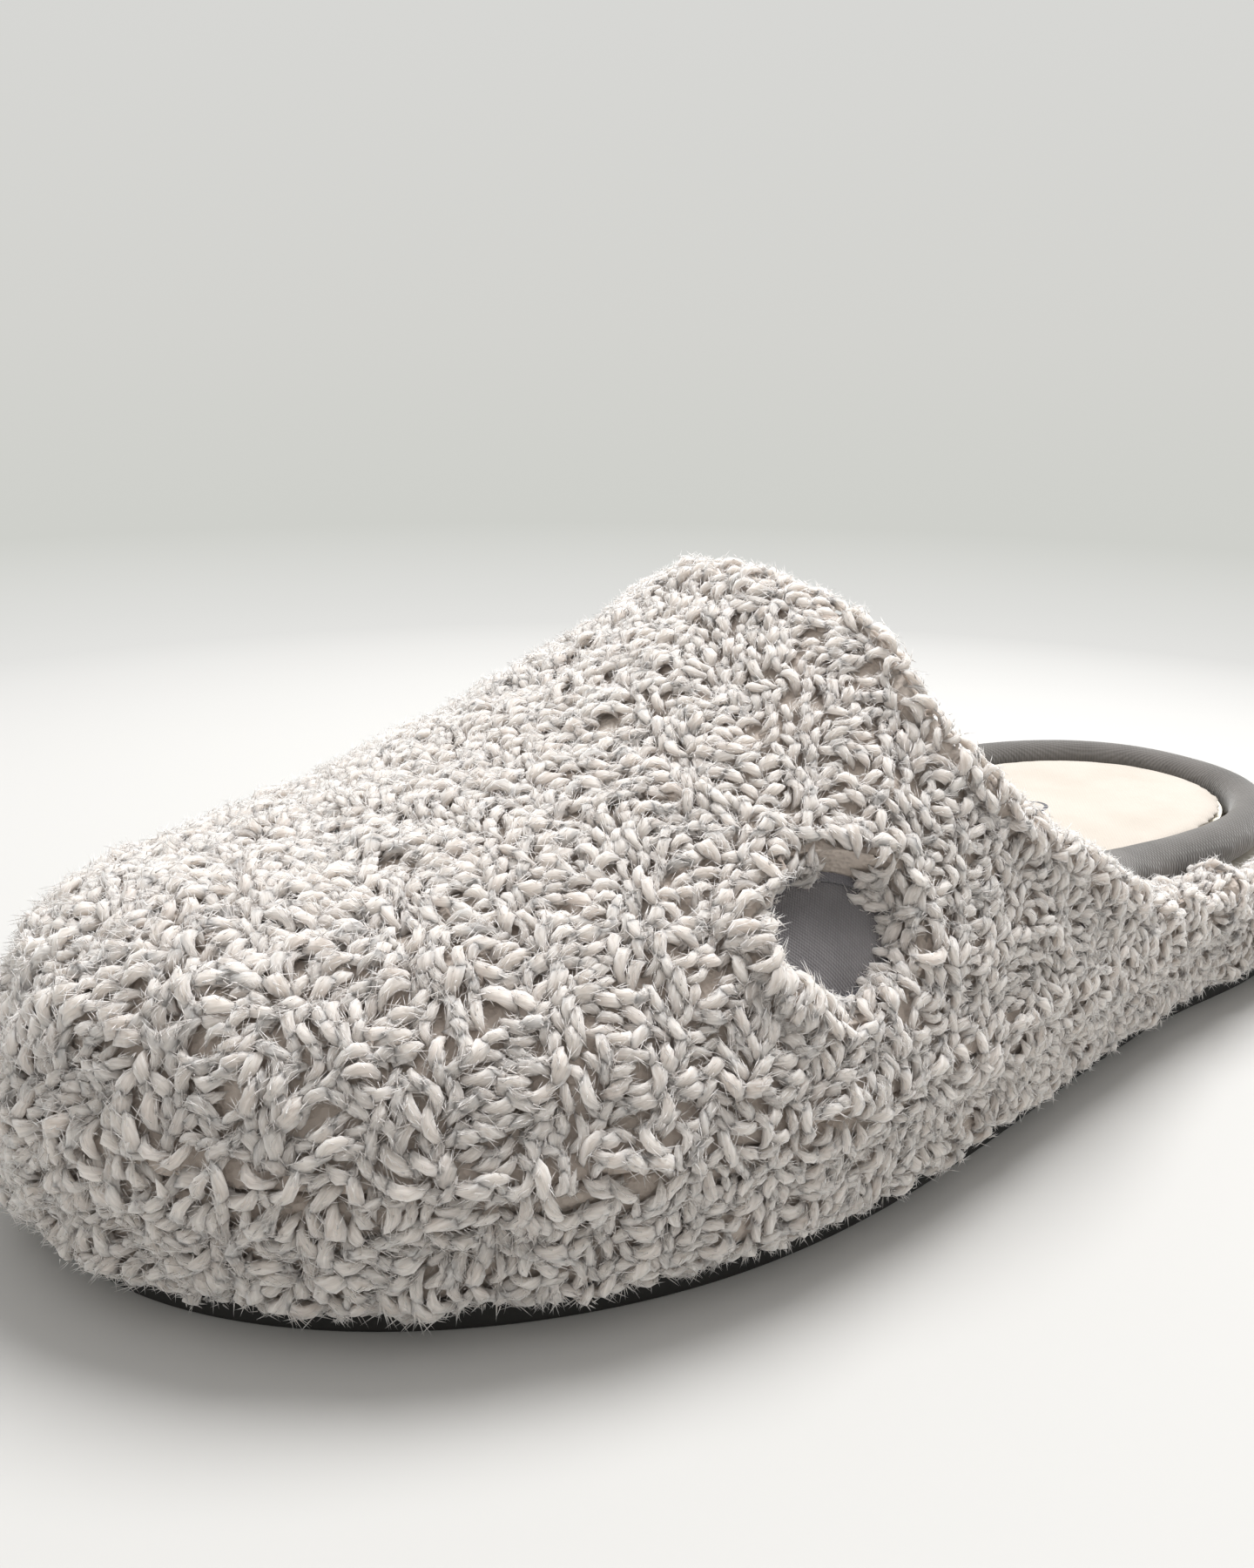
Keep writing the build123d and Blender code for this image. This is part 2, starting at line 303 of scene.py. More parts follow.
def moulded(name, light, dark, grain, rough, depth=0.3):
    """A moulded rubber or foam: a fine grain of a size in millimetres, scuffed a little lighter."""
    material, tree, shader = blank(name)
    where = object_coordinates(tree)
    cells = add(tree, "ShaderNodeTexVoronoi", Vector=where, Scale=1 / (grain * MM))
    scuffs = add(tree, "ShaderNodeTexNoise", Vector=where, Scale=1 / SCUFF_SIZE, Detail=5.0)
    colour = ramp(tree, scuffs.outputs["Fac"], (0.35, dark), (0.75, light))
    roughness = add(
        tree, "ShaderNodeMapRange",
        i0=scuffs.outputs["Fac"], i1=0.3, i2=0.7, i3=rough - 0.1, i4=rough + 0.1,
    )
    surfaced(tree, shader, colour, depth, 0.1 * MM, cells.outputs["Distance"])
    tree.links.new(roughness.outputs["Result"], shader.inputs["Roughness"])
    return material


# ---------------------------------------------------------------- pile fabric

TWIST = radians(26)  # of a lock, from one ring of its tube to the next
RIDGE, FLUTE = 1.05, 0.74  # radius at a strand of the lock and between two, as shares of its own
ROUND, ALONG = 2.2, 1.4  # how often the fibre pattern repeats round and along a lock
HAIRS = 15  # loose fibres on a lock
HAIR_LENGTH = (1.0, 2.4)  # mm
HAIR_RADIUS = (0.08, 0.12)  # mm, several real fibres each, so that they show
LOCK_SPACING = 1.62 * MM  # least distance between two locks
LOCKS = [
    # sideways turn in degrees, rise, length and half width in mm
    (35, 1.6, 5.8, 1.04),
    (-40, 1.8, 5.2, 1.10),
    (95, 1.7, 6.0, 0.96),
    (-100, 1.5, 5.6, 1.02),
    (150, 1.9, 6.4, 0.90),
    (-10, 1.8, 4.8, 1.18),
    (-140, 1.7, 6.6, 0.94),
    (60, 1.5, 5.0, 1.06),
]


def lock_path(turn, rise, length, steps):
    """The middle line of a lock: it leaves the backing, rises, bends sideways and dives again."""
    points, heading, place = [], -turn / 2, Vector((0, 0, 0))
    for i in range(steps + 1):
        t = i / steps
        points.append(Vector((place.x, place.y, rise * sin(pi * t) ** 0.75)))
        heading += turn / steps
        place = place + Vector((cos(heading), sin(heading), 0)) * (length / steps)
    middle = sum(points, Vector()) / len(points)
    return [p - Vector((middle.x, middle.y, 0)) for p in points]


def frames_along(points):
    """At each point: the point, the way along, the way to the side and the way up."""
    found = []
    for i, point in enumerate(points):
        ahead = points[min(i + 1, len(points) - 1)] - points[max(i - 1, 0)]
        along = ahead.normalized()
        side = Vector((0, 0, 1)).cross(along).normalized()
        found.append((point, along, side, along.cross(side)))
    return found


def lock_shape(name, turn, rise, length, thick, seed):
    """A lock of twisted fibre, as a closed fluted tube that tapers at both ends."""
    rings, sides = 5, 6
    rand = random.Random(seed)
    twist = rand.choice((-1, 1)) * TWIST
    mesh = bpy.data.meshes.new(name)
    corners, faces, strand, root = [], [], [], []
    path = frames_along(lock_path(turn, rise, length, rings + 1))
    top = rise + thick
    for j, (point, _, side, up) in enumerate(path[1:-1]):
        t = (j + 0.5) / rings
        wide = thick * (0.45 + 0.55 * sin(pi * t)) * rand.uniform(0.9, 1.1)
        for k in range(sides):
            a = 2 * pi * k / sides
            flute = RIDGE if k % 2 else FLUTE
            spin = a + twist * j
            corner = point + (side * cos(spin) + up * sin(spin) * 0.9) * wide * flute
            corners.append(corner)
            strand.append((ROUND * cos(a), ROUND * sin(a), ALONG * t))
            # How low a corner lies in the lock, which the pile's colour turns into painted shade.
            root.append(1 - max(0.0, min(1.0, corner.z / top)))
    for j in range(rings - 1):
        for k in range(sides):
            a, b = j * sides + k, j * sides + (k + 1) % sides
            faces.append((a, a + sides, b + sides, b))
    for end, first in ((path[0][0], 0), (path[-1][0], (rings - 1) * sides)):
        corners.append(end - Vector((0, 0, thick * 0.3)))
        strand.append((0, 0, 0.0 if first == 0 else ALONG))
        root.append(1.0)
        tip = len(corners) - 1
        for k in range(sides):
            a, b = first + k, first + (k + 1) % sides
            faces.append((a, b, tip) if first == 0 else (b, a, tip))
    return stranded(name, mesh, corners, faces, strand, root)


def stranded(name, mesh, corners, faces, strand, root):
    """The piece of a mesh that carries its place along and round the strand, and its depth, from which
    the pile's colour paints shade.
    """
    mesh.from_pydata(corners, [], faces)
    store(mesh, "strand", "FLOAT_VECTOR", strand)
    store(mesh, "root", "FLOAT", root)
    mesh.shade_smooth()
    return bpy.data.objects.new(name, mesh)


def fuzz_shape(name, turn, rise, length, thick, seed):
    """Loose fibres that stand off a lock of the same shape, each a fine closed spike."""
    rand = random.Random(seed + 100)
    path = frames_along(lock_path(turn, rise, length, 12))
    mesh = bpy.data.meshes.new(name)
    corners, faces = [], []
    for _ in range(HAIRS):
        point, along, side, up = path[rand.randint(2, 10)]
        spin = rand.uniform(-0.05 * pi, 1.05 * pi)
        out = side * cos(spin) + up * sin(spin)
        over = along.cross(out)
        start = point + out * thick * 0.8
        way = along * rand.choice((-1, 1)) + out * rand.uniform(0.15, 0.75)
        way += over * rand.uniform(-0.5, 0.5)
        reach = rand.uniform(*HAIR_LENGTH) * MM
        fine = rand.uniform(*HAIR_RADIUS) * MM
        first = len(corners)
        for k in range(3):
            a = 2 * pi * k / 3
            corners.append(start + (over * cos(a) + out * sin(a)) * fine)
        corners.append(start + way.normalized() * reach)
        faces.append((first, first + 1, first + 2))
        for k in range(3):
            faces.append((first + k, first + 3, first + (k + 1) % 3))
    strand = [(c.x / MM, c.y / MM, c.z / MM) for c in corners]
    piece = stranded(name, mesh, corners, faces, strand, [0.1] * len(corners))
    solid = bmesh.new()
    solid.from_mesh(mesh)
    bmesh.ops.recalc_face_normals(solid, faces=solid.faces)
    solid.to_mesh(mesh)
    solid.free()
    return piece


def shapes(name, make):
    """One shape for each kind of lock, in a collection that the pile draws on."""
    group = bpy.data.collections.new(name)
    for i, (turn, rise, length, thick) in enumerate(LOCKS):
        sizes = (rise * MM, length * MM, thick * MM)
        group.objects.link(make(f"{name}_{i}", radians(turn), *sizes, i))
    return group


def new_tree(name, **kinds):
    """A Geometry Nodes tree with named inputs: the tree, the inputs' identifiers and their sockets."""
    tree = bpy.data.node_groups.new(name, "GeometryNodeTree")
    inputs = {}
    for label, kind in kinds.items():
        socket = tree.interface.new_socket(label, in_out="INPUT", socket_type=f"NodeSocket{kind}")
        inputs[label] = socket.identifier
    tree.interface.new_socket("Geometry", in_out="OUTPUT", socket_type="NodeSocketGeometry")
    return tree, inputs, add(tree, "NodeGroupInput").outputs


def end_tree(tree, instances, material):
    """Makes the instances real, gives them their material and passes them out."""
    real = add(tree, "GeometryNodeRealizeInstances", Geometry=instances)
    coated = add(tree, "GeometryNodeSetMaterial", Geometry=real.outputs[0], Material=material)
    add(tree, "NodeGroupOutput", Geometry=coated.outputs[0])


def pile_tree(material):
    """Sets locks all over a bed: each lies along the bed's lay, with its own turn, size and tone."""
    tree, inputs, given = new_tree(
        "pile", Bed="Geometry", Locks="Collection", Spacing="Float", Wander="Float",
        Smallest="Float", Largest="Float", Seed="Int", From="Float", To="Float",
    )

    def named(kind, name):
        node = add(tree, "GeometryNodeInputNamedAttribute", {"data_type": kind}, Name=name)
        return node.outputs["Attribute"]

    def chance(kind, low, high, salt):
        seed = add(tree, "ShaderNodeMath", i0=given["Seed"], i1=float(salt)).outputs[0]
        node = add(tree, "FunctionNodeRandomValue", {"data_type": kind}, Seed=seed)
        first = {"FLOAT_VECTOR": 0, "FLOAT": 2, "INT": 4}[kind]
        for place, value in ((first, low), (first + 1, high)):
            if isinstance(value, bpy.types.NodeSocket):
                tree.links.new(value, node.inputs[place])
            else:
                node.inputs[place].default_value = value
        return next(s for s in node.outputs if s.enabled)

    spread = add(
        tree, "GeometryNodeDistributePointsOnFaces", {"distribute_method": "POISSON"},
        Mesh=given["Bed"], Distance_Min=given["Spacing"], Density_Max=600000.0,
        Density_Factor=named("FLOAT", "cover"), Seed=given["Seed"],
    )
    ahead = add(
        tree, "ShaderNodeSeparateXYZ", Vector=add(tree, "GeometryNodeInputPosition").outputs[0]
    ).outputs["X"]
    behind = add(tree, "ShaderNodeMath", {"operation": "LESS_THAN"}, i0=ahead, i1=given["From"])
    beyond = add(tree, "ShaderNodeMath", {"operation": "GREATER_THAN"}, i0=ahead, i1=given["To"])
    outside = add(tree, "ShaderNodeMath", i0=behind.outputs[0], i1=beyond.outputs[0])
    kept = add(
        tree, "GeometryNodeDeleteGeometry",
        Geometry=spread.outputs["Points"], Selection=outside.outputs[0],
    )
    wander = add(
        tree, "FunctionNodeRandomValue", {"data_type": "FLOAT_VECTOR"},
        i0=(-1, -1, -1), i1=(1, 1, 1), Seed=given["Seed"],
    ).outputs[0]
    stray = add(
        tree, "ShaderNodeVectorMath", {"operation": "MULTIPLY_ADD"},
        i0=wander, i1=given["Wander"], i2=named("FLOAT_VECTOR", "lay"),
    ).outputs[0]
    tilt = add(
        tree, "ShaderNodeVectorMath", {"operation": "MULTIPLY_ADD"},
        i0=wander, i1=(0.22, 0.22, 0.22), i2=spread.outputs["Normal"],
    ).outputs[0]
    turned = add(
        tree, "FunctionNodeAxesToRotation", {"primary_axis": "Z", "secondary_axis": "X"},
        i0=tilt, i1=stray,
    ).outputs[0]
    size = add(
        tree, "ShaderNodeMath", {"operation": "MULTIPLY"},
        i0=chance("FLOAT", given["Smallest"], given["Largest"], 3), i1=named("FLOAT", "size"),
    ).outputs[0]
    set_out = add(
        tree, "GeometryNodeInstanceOnPoints",
        Points=kept.outputs[0],
        Instance=add(
            tree, "GeometryNodeCollectionInfo", Collection=given["Locks"],
            Separate_Children=True, Reset_Children=True,
        ).outputs[0],
        Pick_Instance=True, Instance_Index=chance("INT", 0, len(LOCKS) - 1, 5),
        Rotation=turned, Scale=size,
    )
    toned = add(
        tree, "GeometryNodeStoreNamedAttribute", {"data_type": "FLOAT", "domain": "INSTANCE"},
        Geometry=set_out.outputs[0], Name="tone", Value=chance("FLOAT", 0.0, 1.0, 7),
    )
    end_tree(tree, toned.outputs[0], material)
    return tree, inputs


def covered(name, bed, group, span, seed):
    """A new piece: the locks or the fuzz that cover a bed, over a span of its length."""
    piece = linked(name, bed.data.copy())
    pile = piece.modifiers.new("pile", "NODES")
    pile.node_group = pile_rule
    for key, value in (
        ("Locks", group), ("Spacing", LOCK_SPACING), ("Wander", 0.45), ("Smallest", 0.8),
        ("Largest", 1.2), ("Seed", seed), ("From", span[0]), ("To", span[1]),
    ):
        pile[pile_inputs[key]] = value
    return plain(piece)


ROW_PITCH = 11 * MM  # between rows of locks that lean left and right
ROW_LEAN, STRAY = radians(48), radians(60)  # how far the rows lean, and single locks stray
HANGING = 10 * MM  # height below which the locks hang
SINK = 2.5 * MM  # how far the backing lies below the CAD surface, which is at the tips
LUMP = 1.3 * MM  # how much that varies from place to place
RIM_ROLL = 1.2 * MM  # how far the backing stands out instead, on the back of the throat's rim
RIM_RADIUS = 16.0 * MM  # most distance from the layers inside, so the rim stays round
RIM_LOWEST = 40 * MM  # height below which that distance grows
BED_VOXEL, BED_ROUNDS = 1.5 * MM, 9  # net and easing of the backing
TOUCHING = 0.9 * MM  # backing this close to the layers inside is bare and isn't moved
SEWN = 0.3 * MM  # backing this close to a seam is bare
EASED = 6 * MM  # over which the sinking grows from a seam or the layers inside
BADGE_DEPTH = 22 * MM  # fabric further than this from the badge's plane is left alone
BADGE_REACH, BADGE_BARE, BADGE_RING = 2.0, 0.89, 1.25  # in shares of the badge's oval
# Size of the locks: at the toe, what is lost by mid-length, and round the badge.
TOE_SIZE, SIZE_DROP, RING_SIZE = 1.10, 0.22, 1.12


def facing_out(node):
    """Which way a flat piece on the outer side faces."""
    faces = [p for p in nodes[node].data.polygons if p.normal.y > 0.5]
    return sum((p.normal * p.area for p in faces), Vector()).normalized()


BADGE_FACES = facing_out("side_badge")
BADGE_PLACE = sum((Vector(c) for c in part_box("side_badge")), Vector()) / 2
BADGE_HALF = (14.0 * MM, 10.0 * MM)  # length and height of the oval that the pile is cleared from


def off_badge(point):
    """How far a point is from the badge's middle line, in shares of its oval, and which way."""
    away = point - BADGE_PLACE
    away -= BADGE_FACES * away.dot(BADGE_FACES)
    up = BADGE_FACES.cross(Vector((1, 0, 0)))
    share = ((away.x / BADGE_HALF[0]) ** 2 + (away.dot(up) / BADGE_HALF[1]) ** 2) ** 0.5
    return share, away.normalized() if away.length > 1e-9 else up


def rim_share(normal):
    """How much a point of the vamp faces back, as the rim of the throat does."""
    return min(1.0, max(0.0, (-normal.x - 0.15) / 0.4))


def lay_of(point, normal, near_seam):
    """Which way the locks lie: rows that lean left and right by turns, and stray a little.
    They run along the rim of the throat, and at the lower edge they hang."""
    flow = Vector((0.80, 0.0, -0.60))
    if near_seam or point.z < HANGING:
        flow = Vector((0.25, 0.0, -0.97))
    if rim_share(normal) > 0 and point.x > -80 * MM:
        flow = normal.cross(Vector((0, point.y, point.z - 20 * MM)).normalized())
    elif abs(flow.dot(normal)) > 0.75:
        flow = Vector((0.60, 0.0, 0.80))
    flow = (flow - normal * flow.dot(normal)).normalized()
    across = normal.cross(flow)
    drift = noise.noise(point * 60) * 7 * MM
    row = sin(2 * pi * (point.x * 0.85 + point.z * 0.45 + drift) / ROW_PITCH)
    lean = max(-1.0, min(1.0, 2.0 * row)) * ROW_LEAN + noise.noise(point * 150) * STRAY
    return flow * cos(lean) + across * sin(lean)


def rounded_to(inner, place):
    """The place, brought in where it is further than the rim's radius from the layers inside."""
    nearest, _, _, distance = inner.find_nearest(place)
    most = RIM_RADIUS + max(0.0, RIM_LOWEST - place.z) * 0.5
    if distance <= most:
        return place
    return nearest + (place - nearest) * (most / distance)


def bed_of(name, node, inside, seam):
    """The fabric under the pile, sunk below the tips of its locks, with the lay of the pile on it."""
    bed = remade(cad_copy(name, node), BED_VOXEL, BED_ROUNDS)
    mesh = bed.data
    inner, edge = surface_of(*inside), surface_of(*seam)
    toe_x, heel_x = cad_box[1][0], cad_box[0][0]
    cover, lay, size, sunk = [], [], [], []
    for v in mesh.vertices:
        inner_gap, seam_gap = gap(inner, v.co), gap(edge, v.co)
        within = inner_gap < TOUCHING
        badge, away = off_badge(v.co)
        badge += 0.20 * noise.noise(v.co * 130)
        facing = abs((v.co - BADGE_PLACE).dot(BADGE_FACES)) < BADGE_DEPTH
        near_badge = node == "vamp_outer" and v.co.y > 0 and facing and badge < BADGE_REACH
        bare = within or seam_gap < SEWN or (near_badge and badge < BADGE_BARE)
        cover.append(0.0 if bare else 1.0)
        full = SINK + LUMP * noise.noise(v.co * 140)
        share = min(1.0, seam_gap / EASED)
        if node == "vamp_outer":
            share = min(share, max(0.0, inner_gap - 2 * MM) / EASED)
        rolled = rim_share(v.normal) if node == "vamp_outer" else 0.0
        sunk.append(0.0 if within else full * share * (1 - rolled) - RIM_ROLL * rolled)
        direction = lay_of(v.co, v.normal, seam_gap < 5 * MM)
        if near_badge:
            pull = max(0.0, min(1.0, BADGE_REACH - badge))
            direction = (direction * (1 - 0.5 * pull) + away * 0.8 * pull).normalized()
        lay.append(direction)
        along = (toe_x - v.co.x) / (toe_x - heel_x)
        ring = RING_SIZE if near_badge and badge < BADGE_RING else 1.0
        size.append((TOE_SIZE - SIZE_DROP * min(1.0, along / 0.5)) * ring)
    moved = [v.co - v.normal * down for v, down in zip(mesh.vertices, sunk)]
    for v, place in zip(mesh.vertices, moved):
        v.co = rounded_to(inner, place) if node == "vamp_outer" else place
    store(mesh, "cover", "FLOAT", cover)
    store(mesh, "lay", "FLOAT_VECTOR", lay)
    store(mesh, "size", "FLOAT", size)
    return smooth_shaded(bed)


# ---------------------------------------------------------------- stitches


def stitch_tree(material):
    """Stitches of one length, end to end with gaps, along a loop of edges."""
    tree, inputs, given = new_tree(
        "stitches", Line="Geometry", Pitch="Float", Length="Float", Thread="Float"
    )
    line = add(tree, "GeometryNodeMeshToCurve", Mesh=given["Line"])
    steps = add(
        tree, "GeometryNodeResampleCurve", {"mode": "LENGTH"},
        Curve=line.outputs[0], Length=given["Pitch"],
    )
    thread = add(
        tree, "GeometryNodeMeshCylinder", Vertices=6, Side_Segments=1,
        Radius=given["Thread"], Depth=given["Length"],
    )
    along = add(
        tree, "FunctionNodeAlignRotationToVector", {"axis": "Z"},
        Vector=add(tree, "GeometryNodeInputTangent").outputs[0],
    )
    sewn = add(
        tree, "GeometryNodeInstanceOnPoints",
        Points=steps.outputs[0], Instance=thread.outputs[0], Rotation=along.outputs[0],
    )
    end_tree(tree, sewn.outputs[0], material)
    return tree, inputs


def badge_stitches(material):
    """A row of short stitches inside the felt's edge, just above its face."""
    inset, flatness, above, points = 2.0 * MM, 0.62, 0.8 * MM, 64
    up = BADGE_FACES.cross(Vector((1, 0, 0))).normalized()
    across = up.cross(BADGE_FACES)
    low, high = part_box("side_badge")
    half_length = (high[0] - low[0]) / 2 - inset
    half_height = half_length * flatness
    top = BADGE_PLACE + BADGE_FACES * above
    corners = []
    for i in range(points):
        a = 2 * pi * i / points
        corners.append(top + across * half_length * cos(a) + up * half_height * sin(a))
    mesh = bpy.data.meshes.new("badge_stitches")
    mesh.from_pydata(corners, [(i, (i + 1) % points) for i in range(points)], [])
    piece = linked("badge_stitches", mesh)
    row = piece.modifiers.new("stitches", "NODES")
    row.node_group, inputs = stitch_tree(material)
    for key, value in (("Pitch", 1.9 * MM), ("Length", 1.3 * MM), ("Thread", 0.22 * MM)):
        row[inputs[key]] = value
    return plain(piece)


# ---------------------------------------------------------------- padding

CLOTH_STEPS, CLOTH_QUALITY = 20, 4
TAPER, DRAWN = 11 * MM, 0.75  # of the collar's ends: length, and how far they are drawn in


def plumped(piece, voxel, pressure, cap):
    """Fabric under the pressure of what it holds, simulated as cloth.
    No point ends further than the cap from its place."""
    remade(piece, voxel, 2)
    starts = [v.co.copy() for v in piece.data.vertices]
    normals = [v.normal.copy() for v in piece.data.vertices]
    for v, way in zip(piece.data.vertices, normals):
        v.co -= way * cap * 0.5
    cloth = piece.modifiers.new("cloth", "CLOTH")
    cloth.settings.use_pressure = True
    cloth.settings.uniform_pressure_force = pressure
    cloth.settings.effector_weights.gravity = 0.0
    cloth.settings.quality = CLOTH_QUALITY
    cloth.point_cache.frame_end = CLOTH_STEPS
    for step in range(1, CLOTH_STEPS + 1):
        bpy.context.scene.frame_set(step)
    plain(piece)
    for v, start in zip(piece.data.vertices, starts):
        moved = v.co - start
        if moved.length > cap:
            v.co = start + moved.normalized() * cap
    bpy.context.scene.frame_set(1)
    piece.modifiers.new("round", "SUBSURF")
    piece.modifiers["round"].levels = 1
    piece.modifiers["round"].render_levels = 1
    return smooth_shaded(plain(piece))


def tuck_ends(roll):
    """Draws the roll's two front ends in to a rounded tip."""
    front = max(v.co.x for v in roll.data.vertices)
    for side in (-1, 1):
        end = [v for v in roll.data.vertices if v.co.y * side > 0 and v.co.x > front - TAPER]
        middle = sum((v.co for v in end), Vector()) / len(end)
        low = min(v.co.z for v in end)
        for v in end:
            share = 1 - (1 - ((v.co.x - front) / TAPER + 1) ** 2.5) ** 0.5
            v.co.y += (middle.y - v.co.y) * DRAWN * share
            v.co.z += (low + 2 * MM - v.co.z) * DRAWN * share


# ---------------------------------------------------------------- the slipper


pile_finish = curly_pile()
backing_finish = pile_backing()
lock_group = shapes("lock", lock_shape)
fuzz_group = shapes("fuzz", fuzz_shape)
pile_rule, pile_inputs = pile_tree(pile_finish)

inner_layers = ("vamp_interlining", "toe_puff", "throat_tape", "vamp_foam", "vamp_lining")
under_layers = ("midsole", "outsole", "footbed_foam", "insole_board")
PILE_PARTS = [
    # part, CAD node, the layers inside it, what it is sewn to, where its pile is divided, seed
    ("vamp", "vamp_outer", inner_layers, ("platform_wrap",), 0.058, 11),
    ("wrap", "platform_wrap", under_layers, ("vamp_outer",), 0.0, 23),
]
for part, node, inside, seam, middle, seed in PILE_PARTS:
    bed = bed_of(f"{part}_backing", node, inside, seam)
    for end, span in (("front", (middle, 1.0)), ("back", (-1.0, middle))):
        finished(covered(f"{part}_{end}_locks", bed, lock_group, span, seed), "pile", pile_finish)
        finished(covered(f"{part}_{end}_fuzz", bed, fuzz_group, span, seed), "pile", pile_finish)
    for name in ("cover", "lay", "size"):
        bed.data.attributes.remove(bed.data.attributes[name])
    finished(bed, "pile", backing_finish, node)

# Collar: jersey over a foam roll.
jersey = fabric("brushed_jersey", "#65615e", "#53504d", 0.9, 0.92, 0.5, 0.4)
collar = plumped(cad_copy("collar_roll", "collar_binding", "collar_core"), 1.2 * MM, 4.0, 0.5 * MM)
tuck_ends(collar)
finished(collar, "collar_fabric", jersey, "collar_binding", "collar_core")

# Sock: cream brushed fabric on the footbed.
sock_cloth = fabric("brushed_cotton_sock", "#c9c0b6", "#c0b7ac", 0.8, 0.92, 0.3, 0.4)
sock = plumped(cad_copy("sock_cover", "sock_lining"), 1.4 * MM, 2.0, 0.3 * MM)
finished(sock, "sock_fabric", sock_cloth, "sock_lining")

lining_cloth = fabric("tricot_lining", "#d9d1c6", "#cfc6ba", 0.8)
lining = smooth_shaded(remade(cad_copy("vamp_lining_cloth", "vamp_lining"), 1.0 * MM, 2))
finished(lining, "lining_fabric", lining_cloth, "vamp_lining")

felt = fabric("wool_felt", "#858284", "#6c696b", 0.5, 0.95, 0.15, 0.8)
felt_edge = fabric("felt_edge", "#7b797e", "#68666b", 0.5, 0.95, 0.4, 0.6)
cad_finishes = {
    "outsole": moulded("moulded_rubber", "#1d1c19", "#131210", 0.7, 0.62),
    "midsole": moulded("eva_foam", "#dedbd4", "#d0cdc6", 0.9, 0.8),
    "insole_board": moulded("fibre_board", "#bcae96", "#ab9c83", 0.6, 0.9),
    "footbed_foam": moulded("open_foam", "#ede8dc", "#ded8ca", 0.8, 0.95),
    "sock_mark": fabric("screen_print", "#56565c", "#47474d", 0.8),
    "toe_puff": fabric("stiffener_fleece", "#d3ccbe", "#c6bfb1", 0.8),
    "vamp_interlining": fabric("woven_interlining", "#d3ccbe", "#c6bfb1", 0.8),
    "throat_tape": fabric("twill_tape", "#96918b", "#857f79", 0.8),
    "vamp_foam": moulded("upper_foam", "#efebe0", "#e2ddd0", 0.8, 0.95),
    "side_badge": felt,
    "badge_edging": felt_edge,
}
stitch_thread = fabric("polyester_thread", "#a9a6a4", "#98948f", 0.3, 0.7, 0.1, 0.4)
finished(badge_stitches(stitch_thread), "badge_felt", stitch_thread)
for node, material in cad_finishes.items():
    nodes[node].data.materials.clear()
    nodes[node].data.materials.append(material)


# ---------------------------------------------------------------- stage, light and camera

FLOOR_RADIUS = 0.20  # of the flat part of the stage
BEND_OUT, BEND_UP, BEND_STEPS = 0.68, 0.35, 24  # where the floor bends up into the wall
WALL_HEIGHT = 1.1
STAGE_SIDES = 96
CAMERA_PLACE = (0.1786, 0.1905, 0.1239)
CAMERA_LOOKS = (-0.5727, -0.7679, -0.287)
CAMERA_ROLL = 0.018  # radians
FOCAL_LENGTH, SENSOR = 34.17, 36.0  # mm


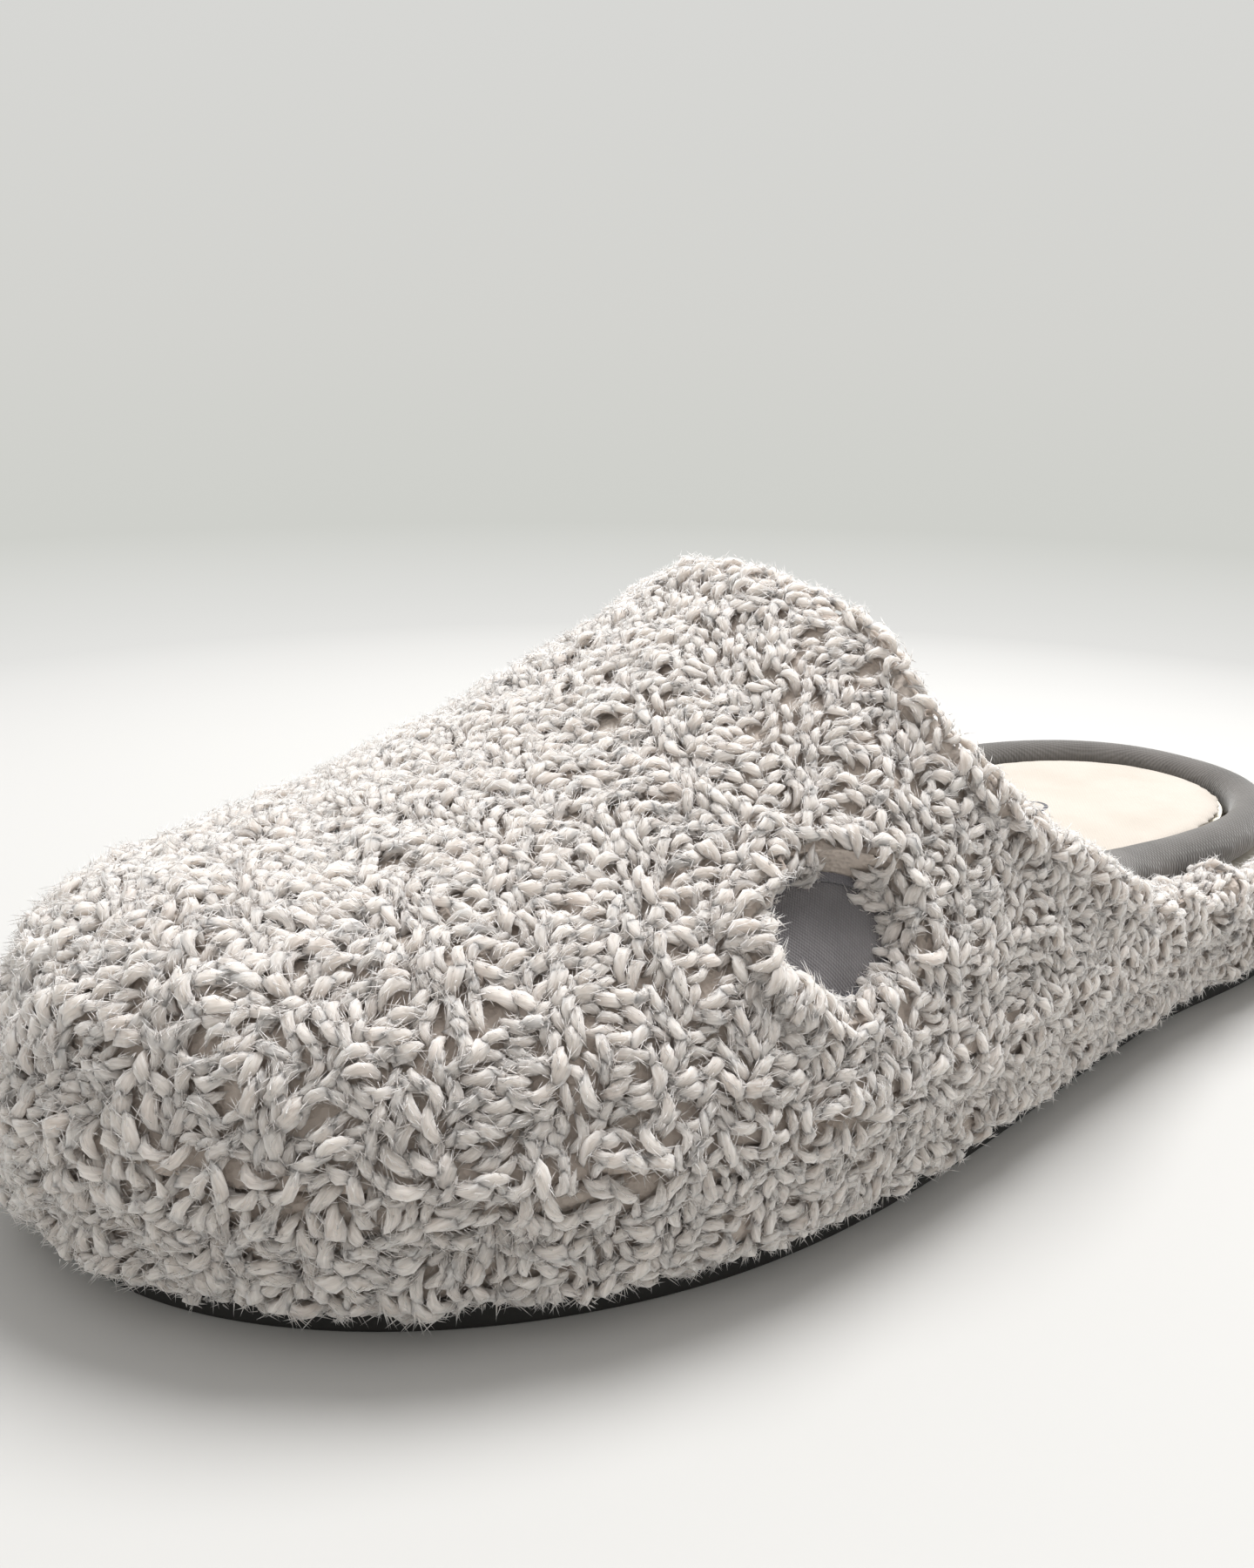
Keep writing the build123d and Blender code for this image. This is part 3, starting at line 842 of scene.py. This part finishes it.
def bowl():
    """A pale floor that rises into a round wall, the same all round. The wall is no lamp but glows with
    painted light, brightest just above the floor, darkest a little higher and lighter again towards the
    top.
    """
    profile = [(0.0, 0.0), (0.6 * FLOOR_RADIUS, 0.0), (FLOOR_RADIUS, 0.0)]
    for i in range(1, BEND_STEPS + 1):
        a = pi / 2 * i / BEND_STEPS
        profile.append((FLOOR_RADIUS + BEND_OUT * sin(a), BEND_UP * (1 - cos(a))))
    profile.append((FLOOR_RADIUS + BEND_OUT, WALL_HEIGHT))
    sides = STAGE_SIDES
    corners, faces = [], []
    for radius, height in profile:
        for k in range(sides):
            a = 2 * pi * k / sides
            corners.append((radius * cos(a), radius * sin(a), height))
    for j in range(len(profile) - 1):
        for k in range(sides):
            a, b = j * sides + k, j * sides + (k + 1) % sides
            faces.append((a, a + sides, b + sides, b))
    mesh = bpy.data.meshes.new("bowl")
    mesh.from_pydata(corners, [], faces)
    mesh.validate()
    mesh.shade_smooth()
    stage = linked("bowl", mesh)
    material, tree, shader = blank("painted_stage")
    height = add(tree, "ShaderNodeSeparateXYZ", Vector=object_coordinates(tree)).outputs["Z"]
    share = add(tree, "ShaderNodeMapRange", i0=height, i1=0.0, i2=0.5)
    # Painted light: the wall's own glow, graded with height, stands in for the light that falls on a
    # studio wall, and it also lights the slipper softly.
    glow = ramp(
        tree, share.outputs["Result"],
        (0.0, "#eeedeb"), (0.03, "#dfdfdc"), (0.07, "#cfd0cb"), (0.25, "#d3d3cf"),
        (1.0, "#dadad8"),
    )
    wall = add(tree, "ShaderNodeEmission", Color=glow, Strength=1.0)
    blend = add(tree, "ShaderNodeMapRange", i0=height, i1=0.0, i2=0.010)
    mix = add(
        tree, "ShaderNodeMixShader",
        i0=blend.outputs["Result"], i1=shader.outputs[0], i2=wall.outputs[0],
    )
    set_inputs(shader, Base_Color=linear("#c4c3c1"), Roughness=0.8, Specular_IOR_Level=0.2)
    tree.links.new(mix.outputs[0], tree.nodes["Material Output"].inputs["Surface"])
    mesh.materials.append(material)


def lamp(name, place, target, size, power):
    """A round soft light, in watts, that faces its target."""
    light = bpy.data.lights.new(name, "AREA")
    light.shape = "DISK"
    light.size = size
    light.energy = power
    lamp = bpy.data.objects.new(name, light)
    bpy.context.scene.collection.objects.link(lamp)
    way = (Vector(target) - Vector(place)).normalized()
    lamp.matrix_world = Matrix.Translation(place) @ way.to_track_quat("-Z", "Y").to_matrix().to_4x4()


def camera():
    """The camera, from the front and outer side, a little above the slipper."""
    lens = bpy.data.cameras.new("camera")
    lens.lens, lens.sensor_width, lens.sensor_fit = FOCAL_LENGTH, SENSOR, "AUTO"
    lens.clip_start = 0.01
    holder = bpy.data.objects.new("camera", lens)
    bpy.context.scene.collection.objects.link(holder)
    look = Vector(CAMERA_LOOKS).normalized()
    right = look.cross(Vector((0, 0, 1))).normalized()
    up = right.cross(look)
    across = right * cos(CAMERA_ROLL) + up * sin(CAMERA_ROLL)
    upward = up * cos(CAMERA_ROLL) - right * sin(CAMERA_ROLL)
    turned = Matrix((across, upward, -look)).transposed().to_4x4()
    holder.matrix_world = Matrix.Translation(CAMERA_PLACE) @ turned
    bpy.context.scene.camera = holder


bowl()
lamp("top_softbox", (-0.26, -0.12, 0.86), (0.0, 0.0, 0.0), 0.55, 10.5)
world = bpy.data.worlds.new("sky")
world.use_nodes = True
set_inputs(world.node_tree.nodes["Background"], Color=linear("#ffffff"), Strength=0.68)
bpy.context.scene.world = world
bpy.context.scene.view_settings.view_transform = "Standard"
camera()
